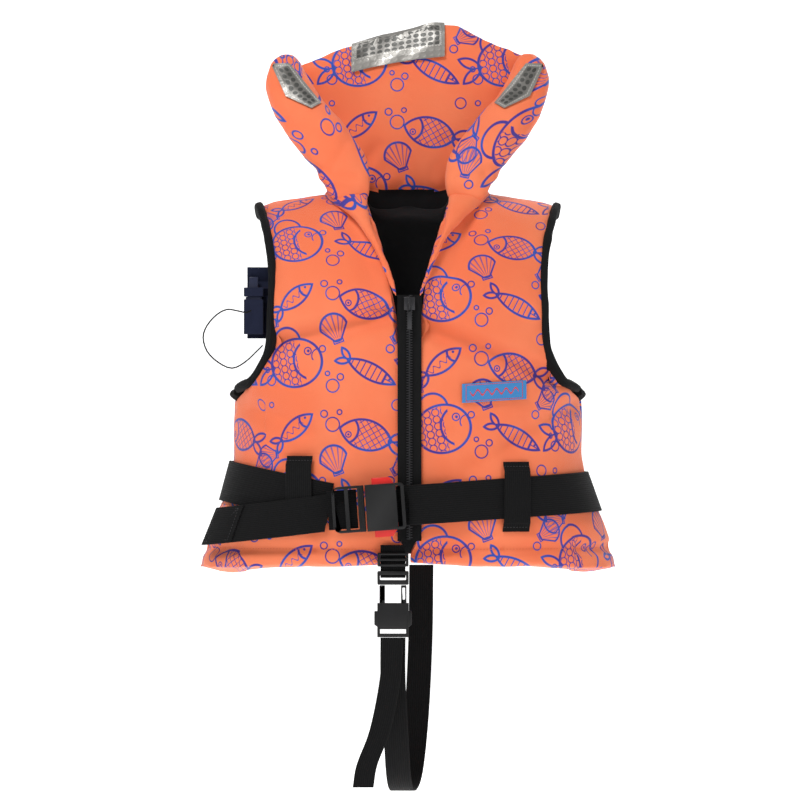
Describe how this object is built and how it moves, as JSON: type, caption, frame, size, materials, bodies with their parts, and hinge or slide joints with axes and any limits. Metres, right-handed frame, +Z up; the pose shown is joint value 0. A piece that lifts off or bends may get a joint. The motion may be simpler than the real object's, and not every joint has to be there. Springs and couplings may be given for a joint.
{
  "type": "life jacket",
  "caption": "Child-size foam life jacket with a zip front, a padded collar, a buckled waist belt and a buckled crotch strap.",
  "frame": {"origin": "the middle of the jacket at shoulder level, on the plane of the side and shoulder seams, where the wearer's shoulders hold it up", "axes": "+Z up, +Y to the wearer's back, +X to the wearer's left, which is the right of a front view"},
  "size_m": [0.428, 0.2243, 0.7956],
  "materials": {
    "shell_fabric": "matt woven polyester, orange with a line print",
    "lining_fabric": "matt woven, black",
    "foam": "closed-cell foam",
    "webbing": "woven, black",
    "cord": "braided, black",
    "black_plastic": "moulded, satin",
    "red_plastic": "moulded, satin",
    "whistle_plastic": "moulded, glossy",
    "reflective": "retro-reflective tape",
    "zip_metal": "black lacquer",
    "patch_fabric": "woven patch"
  },
  "bodies": {
    "back": {"back_cover": "shell_fabric", "back_foam": "foam", "back_lining": "lining_fabric", "shoulder_pad_right": "shell_fabric", "shoulder_pad_left": "shell_fabric", "armhole_binding_back_right": "webbing", "armhole_binding_back_left": "webbing", "belt_back": "webbing", "crotch_strap": "webbing"},
    "front_right": {"front_right_cover": "shell_fabric", "front_right_foam": "foam", "front_right_lining": "lining_fabric", "armhole_binding_front_right": "webbing", "lapel_right": "shell_fabric", "zip_tape_right": "webbing", "belt_right_run": "webbing", "belt_keeper_right": "webbing", "belt_buckle_housing": "black_plastic", "label_patch": "patch_fabric"},
    "front_left": {"front_left_cover": "shell_fabric", "front_left_foam": "foam", "front_left_lining": "lining_fabric", "armhole_binding_front_left": "webbing", "lapel_left": "shell_fabric", "zip_tape_left": "webbing", "belt_left_run": "webbing", "belt_tail": "webbing", "belt_keeper_left": "webbing", "crotch_tab": "webbing", "crotch_buckle_frame": "black_plastic", "whistle_pouch": "webbing", "whistle_band": "webbing", "whistle_cord": "cord"},
    "collar": {"collar_front_cover": "shell_fabric", "collar_foam": "foam", "collar_rear_cover": "shell_fabric", "collar_wing_right_cover": "shell_fabric", "collar_wing_right_foam": "foam", "collar_wing_left_cover": "shell_fabric", "collar_wing_left_foam": "foam", "reflective_patch_right": "reflective", "reflective_patch_left": "reflective", "reflective_patch_middle": "reflective"},
    "belt_frame": {"belt_buckle_frame": "black_plastic"},
    "belt_prong_upper": {"belt_prong_upper": "red_plastic"},
    "belt_prong_lower": {"belt_prong_lower": "red_plastic"},
    "crotch_housing": {"crotch_buckle_housing": "black_plastic", "crotch_tail": "webbing"},
    "crotch_prong_right": {"crotch_prong_right": "black_plastic"},
    "crotch_prong_left": {"crotch_prong_left": "black_plastic"},
    "tri_glide": {"crotch_tri_glide": "black_plastic"},
    "zip_slider": {"zip_slider": "zip_metal"},
    "zip_pull": {"zip_pull": "zip_metal"},
    "whistle": {"whistle": "whistle_plastic"}
  },
  "joints": [
    {"name": "front_right_open", "type": "hinge", "parent": "back", "child": "front_right", "pos_m": [0.165, 0, -0.007], "axis": [-0.1496, 0, 0.9887], "range_deg": [0, 70], "deforming": ["zip_tape_left", "zip_tape_right", "belt_right_run"]},
    {"name": "front_left_open", "type": "hinge", "parent": "back", "child": "front_left", "pos_m": [-0.165, 0, -0.007], "axis": [-0.1496, 0, -0.9887], "range_deg": [0, 70]},
    {"name": "zip_slider_travel", "type": "slide", "parent": "front_right", "child": "zip_slider", "axis": [0, 0, -1], "range_m": [0, 0.22]},
    {"name": "zip_pull_swing", "type": "hinge", "parent": "zip_slider", "child": "zip_pull", "pos_m": [0.0015, -0.1201, -0.1035], "axis": [-1, 0, 0], "range_deg": [0, 150]},
    {"name": "belt_buckle_release", "type": "slide", "parent": "front_left", "child": "belt_frame", "axis": [-0.9976, 0, -0.0699], "range_m": [0, 0.035], "deforming": ["belt_left_run", "belt_tail", "belt_prong_upper", "belt_prong_lower"]},
    {"name": "belt_prong_upper_press", "type": "hinge", "parent": "belt_frame", "child": "belt_prong_upper", "pos_m": [-0.04348, -0.129, -0.28976], "axis": [0, 1, 0], "range_deg": [0, 8], "stiffness_Nm_per_rad": 0.3},
    {"name": "belt_prong_lower_press", "type": "hinge", "parent": "belt_frame", "child": "belt_prong_lower", "pos_m": [-0.04093, -0.129, -0.32617], "axis": [0, -1, 0], "range_deg": [0, 8], "stiffness_Nm_per_rad": 0.3},
    {"name": "crotch_buckle_release", "type": "slide", "parent": "back", "child": "crotch_housing", "axis": [0, 0, -1], "range_m": [0, 0.03], "deforming": ["crotch_strap", "crotch_tail", "crotch_prong_right", "crotch_prong_left"]},
    {"name": "crotch_prong_right_press", "type": "hinge", "parent": "front_left", "child": "crotch_prong_right", "pos_m": [-0.00425, -0.114, -0.3855], "axis": [0, 1, 0], "range_deg": [0, 6], "stiffness_Nm_per_rad": 0.2},
    {"name": "crotch_prong_left_press", "type": "hinge", "parent": "front_left", "child": "crotch_prong_left", "pos_m": [-0.02575, -0.114, -0.3855], "axis": [0, -1, 0], "range_deg": [0, 6], "stiffness_Nm_per_rad": 0.2},
    {"name": "tri_glide_slide", "type": "slide", "parent": "front_left", "child": "tri_glide", "axis": [0, 0, 1], "range_m": [0, 0.006]},
    {"name": "whistle_draw", "type": "slide", "parent": "front_left", "child": "whistle", "axis": [0, 0, 1], "range_m": [0, 0.045]},
    {"name": "collar_fold", "type": "hinge", "parent": "back", "child": "collar", "pos_m": [0, 0.066, 0.004], "axis": [-1, 0, 0], "range_deg": [0, 40]}
  ],
  "couplings": [
    {"joint": "front_left_open", "follows": "front_right_open", "ratio": 1},
    {"joint": "zip_slider_travel", "follows": "front_right_open", "m_per_rad": 0.18}
  ]
}
